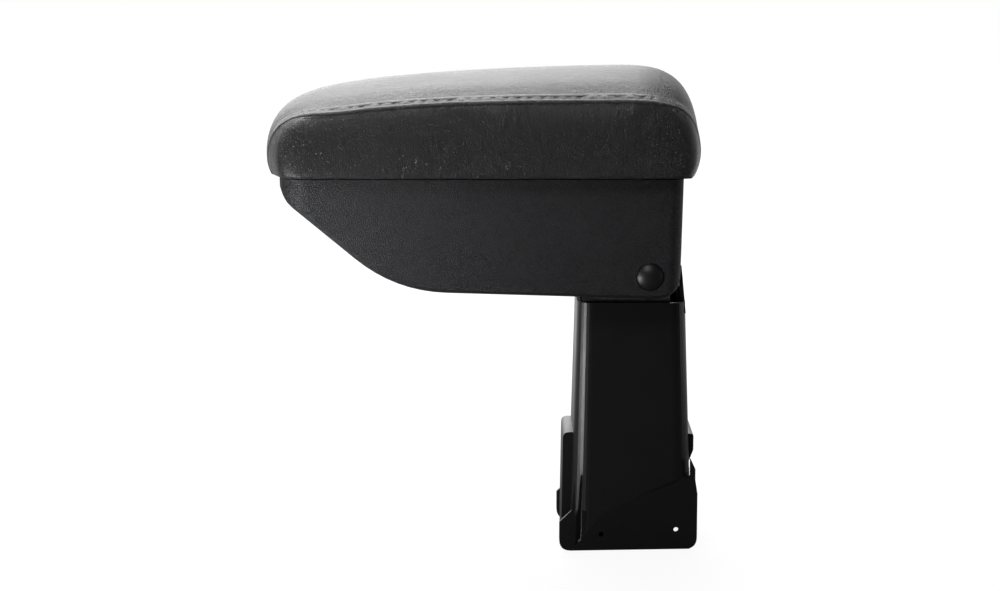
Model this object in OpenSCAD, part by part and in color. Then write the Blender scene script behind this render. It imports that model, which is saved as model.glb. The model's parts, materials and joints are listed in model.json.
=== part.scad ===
// Car centre armrest: a padded lid on a moulded storage box, which tilts on a steel leg
// inside a tapered plastic pedestal. X runs from front to rear, Y across, Z up.
// The origin is at the middle of the pedestal's foot, on the floor.

/* [Pedestal] */
// Height of the pedestal's open top above the floor
pedestal_h = 168; // [150:1:175]
// Front face of the pedestal at its top
top_front = -34.8; // [-37:0.2:-33]
// Rear face of the pedestal at its top
top_rear = 37.3; // [37:0.1:38]
// Width of the pedestal across its top
top_width = 68; // [62:1:70]
// Front face of the pedestal at the floor
foot_front = -39; // [-43:0.5:-38]
// Rear face of the pedestal at the floor
foot_rear = 43.2; // [41:0.2:45]
// Width of the pedestal across its foot
foot_width = 80; // [78:1:84]
// Radius of the pedestal's upright corners
column_r = 10; // [6:0.5:14]
// Wall of the pedestal moulding
shell_wall = 2.4; // [2:0.1:3]
// Length of the screw flanges at the foot
flange_length = 93; // [91:0.5:98]
// Distance between the outer faces of the two flanges at their front end
flange_front_width = 83; // [81:0.5:85]
// Distance between the outer faces of the two flanges at their rear end
flange_rear_width = 72.5; // [72:0.5:76]
// Radius of the flanges' lower corners
flange_r = 8; // [5:0.5:10]
// Diameter of the screw holes in the flanges
screw_hole_d = 3.4; // [3:0.1:4.5]
// Height of the front screw holes
front_hole_z = 11; // [10:0.5:14]
// Place of the front screw holes
front_hole_x = -18.2; // [-20:0.2:-14]
// Height of the rear screw holes
rear_hole_z = 13.5; // [11:0.5:16]
// Place of the rear screw holes
rear_hole_x = 32.2; // [31:0.2:34]
// Height of the locating shoulders on the front and the rear wall
shoulder_z = 78; // [70:1:90]
// Width of the locating shoulders
shoulder_width = 50; // [40:1:56]
// Depth of the front locating shoulder
front_shoulder_d = 6; // [4:0.5:7]
// Depth of the rear locating shoulder
rear_shoulder_d = 3.4; // [3:0.2:5]
// Height of the tongue that closes the rear of the tilt slot
tongue_top = 192; // [185:1:195]
// Width of the tongue
tongue_width = 56; // [46:1:60]
// Width of the cable arch low in the rear wall
arch_width = 46; // [30:1:50]
// Height of the cable arch
arch_h = 46; // [30:1:52]

/* [Leg] */
// Thickness of the folded steel leg
leg_t = 4; // [3:0.5:4.5]
// Gap between the leg's cheeks and the pedestal's side walls at its top
cheek_gap = 3.6; // [3:0.1:5]
// Front edge of the leg at its foot
leg_front = -24; // [-26:0.5:-20]
// Rear edge of the leg at its foot
leg_rear = 26; // [24:0.5:28]
// Radius of the leg's head round the tilt pivot
leg_head_r = 15; // [13:0.5:17]
// Thickness of the foot plate
foot_t = 5; // [4:0.5:6]
// Margin of the foot plate round its outermost screws
foot_plate_edge = 5; // [4:0.5:5.5]
// Thread of the foot bolts
foot_bolt_d = 6; // [5:1:6]
// Diameter of the floor bolt holes in the foot plate
floor_hole_d = 6.5; // [5.5:0.5:7]

/* [Tilt pivot] */
// Place of the tilt pivot, measured to the rear from the origin
pivot_x = 12; // [11:0.5:12.5]
// Height of the tilt pivot
pivot_z = 189; // [188:0.5:190]
// Diameter of the pivot shaft
shaft_d = 10; // [8:0.5:12]
// Wall of the nylon bushes
bush_wall = 2; // [1.5:0.25:2.5]
// Diameter of the caps over the pivot
cap_d = 18; // [17:0.5:20]
// Height of the caps' domes
cap_rise = 3.6; // [2.5:0.2:5]
// Outer diameter of the friction washers
friction_d = 24; // [22:0.5:26]

/* [Storage box] */
// Rear face of the box at its rim
box_rear = 34; // [33.5:0.1:34.5]
// Length of the box at its rim
box_length = 265.5; // [255:0.5:270]
// Width of the box at its rim
box_width = 115; // [114:0.5:117]
// How much the box narrows from rim to floor
box_draft = 3; // [1:0.5:4]
// Height of the box's rim
rim_z = 253; // [252:0.5:254]
// Height at which the front wall turns into the slope
nose_z = 239.2; // [236:0.2:243]
// How far the front wall leans in down to the slope
nose_setback = 4; // [2:0.5:6]
// Distance from the front of the rim to the knee where the slope meets the floor
knee_x = 76.5; // [70:0.5:84]
// Height of the box's underside at the knee
knee_z = 179; // [178.5:0.5:181]
// Height of the box's underside at the rear
heel_z = 173.5; // [173:0.1:174.5]
// How far the rear wall leans in down to the floor
heel_setback = 2.3; // [1:0.1:3]
// Wall of the box
box_wall = 2.6; // [2:0.1:3]
// Radius of the box's front corners
box_front_r = 20; // [14:1:26]
// Radius of the box's rear corners
box_rear_r = 9; // [6:0.5:12]
// Radius of the box's lower edges
box_edge_r = 4; // [2:0.5:5]
// Thickness of the mat on the box floor
mat_t = 1.6; // [1:0.2:2.5]

/* [Lid] */
// How far the lid stands out past the front of the box
lid_front_over = 11; // [8:0.5:14]
// How far the lid stands out past the rear of the box
lid_rear_over = 12.6; // [12:0.2:14]
// How far the lid's widest line stands out past each side of the box
lid_side_over = 8.5; // [7.5:0.5:10.5]
// How far each side panel bulges past its seam
side_bulge = 5; // [3:0.5:7]
// Distance of the lid's end screws from the ends of the box
lid_screw_inset = 48; // [40:1:60]
// Height of the cover's lower edge
cover_z = 256; // [255.8:0.1:256.4]
// Height of the crown near the rear
crown_z = 323; // [318:0.5:328]
// Height of the crown where the front curve begins
crown_front_z = 315; // [311:0.5:320]
// Height of the seam near the rear
seam_z = 306.5; // [302:0.5:310]
// Height of the seam where the front curve begins
seam_front_z = 301.6; // [298:0.5:305]
// Thickness of the leatherette
cover_t = 1.2; // [0.8:0.1:1.4]
// Thickness of the foam
foam_t = 8; // [6:0.5:10]
// Wall of the lid's inner shell
lid_shell_t = 2.2; // [1.8:0.1:3]
// Thickness of the lid's base plate
base_t = 2.5; // [2:0.1:2.5]
// Diameter of the lid's hinge pin
hinge_pin_d = 2.5; // [2:0.1:2.8]
// Diameter of the hinge knuckles
knuckle_d = 5; // [4.6:0.1:5.4]
// Length of each hinge knuckle
knuckle_length = 8; // [6:0.5:10]
// Diameter of the catch magnet
magnet_d = 12; // [8:0.5:14]

/* [Hidden] */

black = [0.05, 0.05, 0.055];
steel = [0.62, 0.63, 0.65];
zinc = [0.72, 0.73, 0.76];
rubber = [0.12, 0.12, 0.12];
nylon = [0.85, 0.84, 0.80];
fine = 64;
far = 400;

// Running clearance of a pin in its bore, on the radius
fit = 0.05;
// Gap between flat faces that turn against each other
face_gap = 0.1;
// Gap of a soft or resting piece from its neighbour
soft_gap = 0.3;

box_front = box_rear - box_length;
leg_width = top_width - 2 * (shell_wall + cheek_gap);
lid_width = box_width + 2 * lid_side_over;
seam_width = lid_width - 2 * side_bulge;
pocket_half = top_width / 2 + 3;
pocket_r = 33.5;
pocket_wall = 2.5;
cap_seat = box_width / 2 - box_draft / 2 - 0.6;
shaft_half = cap_seat - 3.4;
lid_front = box_front - lid_front_over;
lid_rear = box_rear + lid_rear_over;
base_z = cover_z - 1.5;
lid_inside_z = base_z + base_t;
hinge_x = box_rear + knuckle_d / 2 + 0.4;
hinge_z = rim_z;

// Places a flat drawing of the side view, X to the rear and Z up, across the given width
module across(w, y = 0) {
    translate([0, y + w / 2, 0]) rotate([90, 0, 0]) linear_extrude(w) children();
}

// A cylinder across the part, from y0 to y1, about the given place in the side view
module rod(x, z, d, y0, y1) {
    translate([x, y1, z]) rotate([90, 0, 0]) cylinder(d = d, h = y1 - y0, $fn = fine);
}

// A rounded rectangle in plan, given by its edges
module plan(x0, x1, w, r) {
    translate([x0 + r, -w / 2 + r])
        offset(r = r, $fn = 32) square([x1 - x0 - 2 * r, w - 2 * r]);
}

// Rounds the corner at b between a and c, starting the given distance before it
function corner(a, b, c, t, n = 6) =
    let(u = (a - b) / norm(a - b), v = (c - b) / norm(c - b))
    [for (i = [0 : n]) let(s = i / n) b + u * t * (1 - s) * (1 - s) + v * t * s * s];

// Cubic curve through p to s with the handles q and r
function curve(p, q, r, s, n) =
    [for (i = [0 : n]) let(t = i / n)
        p * pow(1 - t, 3) + q * 3 * t * pow(1 - t, 2) + r * 3 * t * t * (1 - t) + s * pow(t, 3)];

function without_first(list) = [for (i = [1 : len(list) - 1]) list[i]];

// Column of the pedestal, drawn in by the given wall and widened across by the given amount
module column(inset, wider = 0) {
    hull() {
        linear_extrude(0.01)
            plan(foot_front + inset, foot_rear - inset, foot_width + wider - 2 * inset, column_r + 2 - inset);
        translate([0, 0, pedestal_h - 0.01]) linear_extrude(0.01)
            plan(top_front + inset, top_rear - inset, top_width + wider - 2 * inset, column_r - inset);
    }
}

// Plan of the skirt between the two flanges, which run closer together towards the rear
module skirt_plan(inset) {
    half = flange_length / 2;
    polygon([[-half, -flange_front_width / 2 + inset], [half, -flange_rear_width / 2 + inset],
             [half, flange_rear_width / 2 - inset], [-half, flange_front_width / 2 - inset]]);
}

// Side view of all that lies above the slanting crease between skirt and column
module above_crease(drop) {
    polygon([[-far, 2 - drop], [foot_front + 2, 3 - drop], [-19, 24 - drop], [8, 38 - drop],
             [foot_rear - 2, 52 - drop], [far, 54 - drop], [far, far], [-far, far]]);
}

// Side view of one screw flange
module flange_outline() {
    half = flange_length / 2;
    difference() {
        polygon(concat(
            corner([-half, 20], [-half, 0], [half, 0], flange_r),
            corner([-half, 0], [half, 0], [half, 38], flange_r),
            [[half, 38], [half - 1.6, 48], [half - 1.6, 55], [foot_rear - 1.5, 62],
             [foot_front + 4, 62], [foot_front + 0.8, 28], [-half, 20]]));
        for (hole = [[front_hole_x, front_hole_z], [rear_hole_x, rear_hole_z]])
            translate(hole) circle(d = screw_hole_d, $fn = fine);
    }
}

// Side view of the front locating shoulder, drawn in by the given wall
module front_shoulder(inset) {
    face = foot_front - front_shoulder_d + 1.2 + inset;
    top = shoulder_z - inset;
    polygon(concat(
        [[-25, 0], [face - 0.8, 0], [face - 0.8, 20]],
        corner([face - 0.8, 20], [face, top], [-25, top], 4),
        [[-25, top]]));
}

// Side view of the rear locating shoulder, drawn in by the given wall
module rear_shoulder(inset) {
    face = foot_rear - 2.4 + rear_shoulder_d - inset;
    top = shoulder_z - 1 - inset;
    polygon(concat(
        [[25, shoulder_z - 24 + inset], [face - 3, shoulder_z - 20 + inset], [face, shoulder_z - 12]],
        corner([face, shoulder_z - 12], [face, top], [25, top], 2, 4),
        [[25, top]]));
}

// Side view of the tongue, leaning forward over the column's rear wall
module tongue_outline() {
    lean = 3.2;
    low = pedestal_h - 8;
    foot = top_rear + 0.3;
    polygon([[foot, low], [foot - lean, tongue_top], [foot - lean - shell_wall, tongue_top],
             [foot - shell_wall - 0.3, low]]);
}

// The pedestal: a thin moulded column with screw flanges at its foot
module pedestal_shell() {
    color(black) {
        difference() {
            union() {
                intersection() {
                    column(0);
                    across(far) above_crease(0);
                }
                intersection() {
                    column(0, 4);
                    linear_extrude(62) skirt_plan(0);
                    difference() {
                        across(far) square([far, 124], center = true);
                        across(far) above_crease(0);
                    }
                }
                across(shoulder_width) front_shoulder(0);
                across(shoulder_width) rear_shoulder(0);
            }
            intersection() {
                translate([0, 0, -0.02]) scale([1, 1, 1.001]) column(shell_wall);
                union() {
                    across(far) above_crease(-shell_wall);
                    translate([0, 0, -1]) linear_extrude(70) skirt_plan(shell_wall);
                }
            }
            translate([0, 0, -0.02]) across(shoulder_width - 2 * shell_wall) front_shoulder(shell_wall);
            across(shoulder_width - 2 * shell_wall) rear_shoulder(shell_wall);
            rear_arch();
            for (hole = [[front_hole_x, front_hole_z], [rear_hole_x, rear_hole_z]])
                rod(hole[0], hole[1], screw_hole_d, -far / 2, far / 2);
        }
        intersection() {
            across(far) flange_outline();
            difference() {
                linear_extrude(62) skirt_plan(0);
                translate([0, 0, -1]) linear_extrude(64) skirt_plan(shell_wall);
            }
            difference() {
                across(far) square([far, 124], center = true);
                intersection() {
                    across(far) above_crease(1.5);
                    translate([foot_front + 3, -far / 2, 0]) cube([foot_rear - foot_front - 5, far, far]);
                }
            }
        }
        across(tongue_width) tongue_outline();
        intersection() {
            linear_extrude(60) skirt_plan(shell_wall / 2);
            for (y = [-shell_post_y, shell_post_y])
                shell_post(shell_post_x, y);
        }
    }
}

shell_post_x = leg_front - 6;
shell_post_y = leg_width / 2 - 3;
shell_post_d = 7;
shell_post_h = 22;
shell_screw_d = 3;
shell_screw_head = 2.1;
shell_screw_length = 15;

// Screw post that stands on the foot plate, ribbed to the side wall
module shell_post(x, y) {
    side = sign(y);
    difference() {
        union() {
            translate([x, y, foot_t + face_gap]) cylinder(d = shell_post_d, h = shell_post_h, $fn = fine);
            translate([x - shell_wall / 2, y, foot_t + face_gap]) mirror([0, side < 0 ? 1 : 0, 0])
                cube([shell_wall, foot_width / 2 - shell_post_y, shell_post_h]);
        }
        translate([x, y, foot_t]) cylinder(d = shell_screw_d, h = shell_screw_length, $fn = fine);
    }
}

// Arch for cables low in the rear wall
module rear_arch() {
    r = 10;
    translate([foot_rear - 12, 0, 0]) rotate([90, 0, 90]) linear_extrude(24) union() {
        translate([-arch_width / 2, -1]) square([arch_width, arch_h - r + 1]);
        translate([-arch_width / 2 + r, 0]) square([arch_width - 2 * r, arch_h]);
        for (s = [-1, 1])
            translate([s * (arch_width / 2 - r), arch_h - r]) circle(r = r, $fn = fine);
    }
}

// Side view of one cheek of the leg: a taper, a round head and a nose under the box floor
module cheek_outline() {
    nose_z = stop_pad_z - stop_pad_top;
    union() {
        translate([pivot_x, pivot_z]) circle(r = leg_head_r, $fn = fine);
        polygon([[leg_front, foot_t], [leg_rear, foot_t], [pivot_x + leg_head_r, pivot_z],
                 [pivot_x - leg_head_r, pivot_z], [pivot_x - leg_head_r - 3, nose_z],
                 [top_front + shell_wall + 1.6, nose_z], [top_front + shell_wall + 1.6, nose_z - 7],
                 [leg_front + 6, nose_z - 26]]);
    }
}

// The stop pads: rubber over the nose, rubber beside it, length and height
stop_pad_top = 3.5;
stop_pad_wall = 2.5;
stop_pad_length = 7;
stop_pad_h = 6.8;

// Height of the stop pads' tops, just under the box floor
stop_pad_z = knee_z + (heel_z - knee_z) * (box_length - knee_x - 62) / (box_length - knee_x) - soft_gap;

// The leg: two cheeks, a rear web and a foot, folded from one sheet of steel
module support_leg() {
    inner = leg_width - 2 * leg_t;
    color(zinc) difference() {
        union() {
            for (s = [-1, 1])
                across(leg_t, s * (leg_width - leg_t) / 2) cheek_outline();
            translate([leg_rear - leg_t, -leg_width / 2, foot_t]) cube([leg_t, leg_width, 150]);
            translate([leg_front + 3, -inner / 2, foot_t]) cube([leg_rear - leg_front - 4, inner, leg_t]);
        }
        rod(pivot_x, pivot_z, bush_od, -far / 2, far / 2);
        for (x = foot_bolt_x, y = foot_bolt_y)
            translate([x, y, 0]) cylinder(d = foot_bolt_d + 2 * fit, h = 30, $fn = fine);
        translate([floor_hole_x[1], 0, 0]) cylinder(d = floor_hole_d, h = 30, $fn = fine);
        // Lightening slot in the web
        translate([leg_rear, 0, 60]) rotate([0, 90, 0]) {
            hull() for (z = [0, -60]) translate([z, 0, 0]) cylinder(d = 20, h = 20, center = true, $fn = 32);
        }
    }
}

foot_bolt_x = [leg_front + 12, leg_rear - 14];
foot_bolt_y = [14 - leg_width / 2, leg_width / 2 - 14];
foot_bolt_head = 4;
floor_hole_x = [leg_front - 4, leg_rear - 14];

// Steel plate under the leg. It ends behind the leg, so the rear screw holes stay clear
module foot_plate() {
    front = shell_post_x - foot_plate_edge;
    half = shell_post_y + foot_plate_edge - 1;
    color(zinc) difference() {
        translate([front, -half, 0]) cube([leg_rear + foot_plate_edge - 2 - front, 2 * half, foot_t]);
        for (x = foot_bolt_x, y = foot_bolt_y)
            translate([x, y, -1]) cylinder(d = foot_bolt_d + 2 * fit, h = foot_t + 2, $fn = fine);
        for (x = floor_hole_x)
            translate([x, 0, -1]) cylinder(d = floor_hole_d, h = foot_t + 2, $fn = fine);
        for (y = [-shell_post_y, shell_post_y])
            translate([shell_post_x, y, -1]) {
                cylinder(d = shell_screw_d + 0.4, h = foot_t + 2, $fn = fine);
                cylinder(d = 2 * shell_screw_d + 0.6, h = 1 + shell_screw_sink + shell_screw_head + 0.1,
                         $fn = fine);
            }
    }
}

// Hexagon bolts that hold the leg to its foot plate
module foot_bolts() {
    color(steel) for (x = foot_bolt_x, y = foot_bolt_y)
        translate([x, y, foot_t + leg_t]) {
            cylinder(d = foot_bolt_d * 1.9, h = foot_bolt_head, $fn = 6);
            translate([0, 0, 0.5 - foot_t - leg_t]) cylinder(d = foot_bolt_d, h = foot_t + leg_t, $fn = fine);
        }
}

shell_screw_sink = 0.5;

// Screws that hold the pedestal moulding to the foot plate
module leg_shell_screws() {
    color(steel) for (y = [-shell_post_y, shell_post_y])
        translate([shell_post_x, y, shell_screw_sink]) {
            cylinder(d = 2 * shell_screw_d, h = shell_screw_head, $fn = fine);
            cylinder(d = shell_screw_d - 2 * fit, h = shell_screw_length + shell_screw_head, $fn = fine);
        }
}

// Rubber saddles on the leg's noses, on which the box floor rests
module tilt_stop_pads() {
    front = top_front + shell_wall + 1.2;
    width = leg_t + 2 * stop_pad_wall;
    color(rubber) for (s = [-1, 1]) difference() {
        translate([front, s * (leg_width - leg_t) / 2 - width / 2, stop_pad_z - stop_pad_h])
            cube([stop_pad_length, width, stop_pad_h]);
        translate([front + 0.4, s * (leg_width - leg_t) / 2 - leg_t / 2 - fit, stop_pad_z - 2 * stop_pad_h])
            cube([2 * stop_pad_length, leg_t + 2 * fit, 2 * stop_pad_h - stop_pad_top + fit]);
    }
}

bush_od = shaft_d + 2 * (fit + bush_wall);

// Flanged nylon bush in one cheek of the leg
module pivot_bush(s) {
    y0 = leg_width / 2;
    flange = 1.2;
    color(nylon) mirror([0, s < 0 ? 1 : 0, 0]) difference() {
        union() {
            rod(pivot_x, pivot_z, bush_od - 0.04, y0 - leg_t - 0.4, y0 + 0.2);
            rod(pivot_x, pivot_z, bush_od + 6, y0, y0 + flange);
        }
        rod(pivot_x, pivot_z, shaft_d + 2 * fit, 0, far);
    }
}

module pivot_bush_left() { pivot_bush(-1); }
module pivot_bush_right() { pivot_bush(1); }

washer_y = leg_width / 2 + 1.2 + face_gap;
washer_t = 2;
disc_y = washer_y + washer_t;
disc_t = 1.2;
spacer_y = disc_y + disc_t + 0.8;

// Fibre washers that brake the tilt
module friction_washers() {
    color([0.45, 0.33, 0.22]) for (s = [0, 1]) mirror([0, s, 0]) difference() {
        rod(pivot_x, pivot_z, friction_d, washer_y, disc_y);
        rod(pivot_x, pivot_z, shaft_d + 4 * fit, 0, far);
    }
}

// Disc springs that press the friction washers, as shallow cones
module disc_springs() {
    rise = 0.8;
    color(steel) for (s = [0, 1]) mirror([0, s, 0])
        translate([pivot_x, disc_y, pivot_z]) rotate([-90, 0, 0]) rotate_extrude($fn = fine)
            polygon([[shaft_d / 2 + 0.2, rise], [friction_d / 2 - 1, 0],
                     [friction_d / 2 - 1, disc_t], [shaft_d / 2 + 0.2, rise + disc_t]]);
}

// Tubes that fill the shaft's length between disc spring and box
module pivot_spacers() {
    color(steel) for (s = [0, 1]) mirror([0, s, 0]) difference() {
        rod(pivot_x, pivot_z, shaft_d + 6, spacer_y, pocket_half - face_gap);
        rod(pivot_x, pivot_z, shaft_d + 4 * fit, 0, far);
    }
}

end_screw_d = shaft_d / 2;

// Shaft across the box, tapped at both ends
module pivot_shaft() {
    color(steel) difference() {
        rod(pivot_x, pivot_z, shaft_d, -shaft_half, shaft_half);
        for (s = [0, 1]) mirror([0, s, 0])
            rod(pivot_x, pivot_z, end_screw_d + 0.1, shaft_half - 14, far);
    }
}

// Washers that hold the box on the shaft
module pivot_end_washers() {
    color(steel) for (s = [0, 1]) mirror([0, s, 0]) difference() {
        rod(pivot_x, pivot_z, shaft_d + 3.6, shaft_half + fit, shaft_half + 1.2);
        rod(pivot_x, pivot_z, end_screw_d + 0.3, 0, far);
    }
}

// Button screws in the ends of the shaft
module pivot_screws() {
    color(steel) for (s = [0, 1]) mirror([0, s, 0]) {
        rod(pivot_x, pivot_z, end_screw_d, shaft_half - 12, shaft_half + 1.4);
        rod(pivot_x, pivot_z, end_screw_d * 1.8, shaft_half + 1.2 + fit, shaft_half + 3.2);
    }
}

// Domed cap that snaps over the shaft's end
module pivot_cap(s) {
    dome_r = (pow(cap_d / 2, 2) + pow(cap_rise, 2)) / (2 * cap_rise);
    wall = 1.2;
    plug = 2;
    color(black) mirror([0, s < 0 ? 1 : 0, 0])
        translate([pivot_x, cap_seat + fit, pivot_z]) rotate([-90, 0, 0]) difference() {
            union() {
                intersection() {
                    translate([0, 0, cap_rise - dome_r]) sphere(r = dome_r, $fn = fine);
                    cylinder(d = cap_d, h = cap_rise + 1, $fn = fine);
                }
                translate([0, 0, -plug]) cylinder(d = shaft_d + 4.6, h = plug + 0.6, $fn = fine);
            }
            translate([0, 0, -plug - 1]) cylinder(d = shaft_d + 2, h = plug + 1.8, $fn = fine);
            intersection() {
                translate([0, 0, cap_rise - dome_r]) sphere(r = dome_r - wall, $fn = fine);
                cylinder(d = shaft_d + 2, h = cap_rise, $fn = fine);
            }
        }
}

module pivot_cap_left() { pivot_cap(-1); }
module pivot_cap_right() { pivot_cap(1); }

// Side view of the box, above its rim as well, drawn in by the given wall
module box_outline(inset) {
    top = 300;
    nose = [box_front + nose_setback, nose_z];
    knee = [box_front + knee_x, knee_z];
    heel = [box_rear - heel_setback, heel_z];
    front_top = [box_front, rim_z];
    rear_top = [box_rear, rim_z];
    offset(delta = -inset) polygon(concat(
        [[box_front, top]],
        corner(front_top, nose, knee, 9),
        corner(nose, knee, heel, 34, 8),
        corner(knee, heel, rear_top, 18, 8),
        [[box_rear, top]]));
}

// The box as a solid body, drawn in by the given wall: drafted sides and rolled lower edges
module box_body(inset) {
    w = box_width - 2 * inset;
    intersection() {
        hull() {
            translate([0, 0, rim_z]) linear_extrude(0.1)
                plan(box_front + inset, far, w, box_front_r - inset / 2);
            translate([0, 0, heel_z + inset]) linear_extrude(0.1)
                plan(box_front + inset, far, w - box_draft, box_front_r - inset / 2);
        }
        hull() {
            across(w) box_outline(inset + box_edge_r);
            across(w - box_draft - 0.6 * box_edge_r) box_outline(inset + 0.3 * box_edge_r);
            across(w - box_draft - 2 * box_edge_r) box_outline(inset);
        }
        // Rear corners are tighter than the front ones
        hull() {
            translate([0, 0, rim_z]) linear_extrude(0.1)
                plan(-far, box_rear - inset, w, box_rear_r - inset / 2);
            translate([0, 0, heel_z + inset]) linear_extrude(0.1)
                plan(-far, box_rear - heel_setback - inset, w - box_draft, box_rear_r - inset / 2);
        }
    }
}

// Side view of the pocket that the leg's head turns in, grown by the given wall
module pocket_outline(grow) {
    r = pocket_r + grow;
    translate([pivot_x, pivot_z]) circle(r = r, $fn = fine);
    translate([pivot_x - r, heel_z - 20]) square([r + 60, pivot_z - heel_z + 20]);
    translate([pivot_x, pivot_z - 1]) square([60, r + 1]);
}

tube_d = shaft_d + 10;

// The storage box, moulded in one piece with its pocket, shaft tubes and hinge knuckles
module storage_box() {
    color(black) difference() {
        union() {
            difference() {
                box_body(0);
                difference() {
                    translate([0, 0, 0.01]) box_body(box_wall);
                    across(2 * (pocket_half + pocket_wall)) pocket_outline(pocket_wall);
                    for (s = [0, 1]) mirror([0, s, 0])
                        rod(pivot_x, pivot_z, tube_d, pocket_half, box_width / 2);
                    catch_ledge();
                }
            }
            for (s = [0, 1]) mirror([0, s, 0]) {
                rod(hinge_x, hinge_z, knuckle_d, knuckle_length, 2 * knuckle_length);
                translate([box_rear - box_wall, knuckle_length, hinge_z - knuckle_d / 2])
                    cube([hinge_x - box_rear + box_wall, knuckle_length, knuckle_d / 2]);
            }
        }
        across(2 * pocket_half) pocket_outline(0);
        rod(pivot_x, pivot_z, shaft_d + 2 * fit, -far / 2, far / 2);
        for (s = [0, 1]) mirror([0, s, 0]) {
            rod(pivot_x, pivot_z, shaft_d + 4.8, shaft_half, far / 2);
            rod(pivot_x, pivot_z, cap_d + 0.5, cap_seat, far / 2);
            // The lid's own knuckles turn in scoops in the rear wall
            rod(hinge_x, hinge_z, knuckle_d + 1, 2 * knuckle_length + 0.15, 3 * knuckle_length + 0.6);
        }
        rod(hinge_x, hinge_z, hinge_pin_d + 2 * fit, -far / 2, far / 2);
        translate([catch_x, 0, ledge_z - 6]) cylinder(d = 2.6, h = 20, $fn = fine);
    }
}

catch_x = box_front + 12;
ledge_z = rim_z - 3.6;
striker_t = 1.2;

// Ledge inside the front wall that carries the striker plate
module catch_ledge() {
    translate([box_front, -12, ledge_z - 8]) cube([21, 24, 8]);
}

// Steel plate that the lid's magnet holds
module striker_plate() {
    color(zinc) difference() {
        translate([catch_x - 6.5, -10, ledge_z]) cube([14, 20, striker_t]);
        translate([catch_x, 0, ledge_z - 1]) cylinder(d = 3.2, h = 4, $fn = fine);
    }
}

// Screw of the striker plate
module striker_screw() {
    color(steel) translate([catch_x, 0, ledge_z]) {
        translate([0, 0, -5]) cylinder(d = 2.5, h = 5 + striker_t, $fn = fine);
        translate([0, 0, striker_t]) cylinder(d = 4.6, h = 0.6, $fn = fine);
    }
}

// Felt-backed mat on the box floor, ahead of the pocket
module box_mat() {
    lift = box_wall + soft_gap;
    x0 = box_front + knee_x + 30;
    x1 = pivot_x - pocket_r - pocket_wall - 2;
    slope = (heel_z - knee_z) / (box_length - heel_setback - knee_x);
    z0 = knee_z + slope * (x0 - box_front - knee_x) + lift;
    z1 = knee_z + slope * (x1 - box_front - knee_x) + lift;
    color([0.16, 0.16, 0.17]) across(box_width - box_draft - 2 * box_wall - 2 * box_edge_r - 4)
        polygon([[x0, z0], [x1, z1], [x1, z1 + mat_t], [x0, z0 + mat_t]]);
}

// Pin through the knuckles of box and lid
module lid_hinge_pin() {
    color(steel) rod(hinge_x, hinge_z, hinge_pin_d, -3 * knuckle_length - 0.4, 3 * knuckle_length + 0.4);
}

// Lid form. A section is the side view at one place across the lid: it starts at the lower
// front edge, runs up the nose, over the top and down the rear. It changes from the crown
// section at mid width to the seam section, and the side panels bulge past the seam.
front_n = 9;
top_n = 6;
rear_n = 9;

function section(front, rear, shoulder_z1, top_z1, foot_z, reach, low) = concat(
    curve([front + 5, low], [front + 2, low], [front, low + 3], [front, low + 7], 3),
    without_first(curve([front, low + 7], [front, foot_z], [front + reach * 0.33, shoulder_z1 - reach * 0.08],
        [front + reach, shoulder_z1], front_n)),
    without_first(curve([front + reach, shoulder_z1], [front + reach + 50, shoulder_z1 + 5],
        [pivot_x - 62, top_z1 - 0.3], [pivot_x - 12, top_z1], top_n)),
    without_first(curve([pivot_x - 12, top_z1], [rear - 13, top_z1], [rear - 2, top_z1 - 14],
        [rear, low + 10], rear_n)),
    without_first(curve([rear, low + 10], [rear, low + 5], [rear - 2.5, low], [rear - 7, low], 3)));

crown = section(lid_front, lid_rear, crown_front_z, crown_z, crown_z - 19, 82, cover_z);
seam = section(lid_front + 13, lid_rear - 6, seam_front_z, seam_z, seam_z - 10, 62, cover_z);

// Moves each point of a section inwards, square to its line, but not below the floor height.
// The sections inside the foam get tight lower corners instead of rolled ones
function drawn_in(list, d, low, tight) = let(e = len(list) - 1) [for (i = [0 : e])
    let(a = list[max(i - 1, 0)], b = list[min(i + 1, e)],
        t = (b - a) / norm(b - a), p = list[i] + d * [t[1], -t[0]], wall = list[i < 4 ? 3 : e - 3][0])
    tight && (i < 4 || i > e - 4)
        ? [wall + (i < 4 ? d : -d) + (list[i][0] - wall) / 10, low + (list[i][1] - cover_z) / 10]
        : (i == 0 || i == e) ? [p[0] + (i == 0 ? d : -d), low] : [p[0], max(p[1], low)]];

// Share of the crown that is left at the place y across the lid
function crown_share(y) = 1 - pow(min(abs(y) / (seam_width / 2), 1), 2.2);

// The side panel bulges: full just past the seam and rolled in towards its outer face
function side_roll(y) = let(u = (abs(y) - seam_width / 2) / (lid_width / 2 - seam_width / 2))
    u <= 0 ? 0 : 14 * (1 - sqrt(1 - pow(min(u, 1), 2.6)));

function lid_section(y, d, low) =
    let(c = crown_share(y), base = crown * c + seam * (1 - c))
    drawn_in(base, d + side_roll(y), low, d > foam_t);

// Places across the lid at which its sections are drawn
side_share = [0, 0.3, 0.6, 0.82, 0.94, 1];
top_share = [0.12, 0.28, 0.5, 0.7, 0.86, 1];
half_seam = seam_width / 2;
half_lid = lid_width / 2;
top_y = concat([for (i = [5 : -1 : 0]) -top_share[i] * half_seam], [0], [for (s = top_share) s * half_seam]);
side_y = [for (s = side_share) half_seam + s * (half_lid - half_seam)];
all_y = concat([for (i = [5 : -1 : 1]) -side_y[i]], top_y, [for (i = [1 : 5]) side_y[i]]);

// The sections at the given places, as rings in space
function rings(places, d, low) = [for (y = places) [for (p = lid_section(y, d, low))
    [p[0], y * (half_lid - d) / half_lid, p[1]]]];

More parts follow.
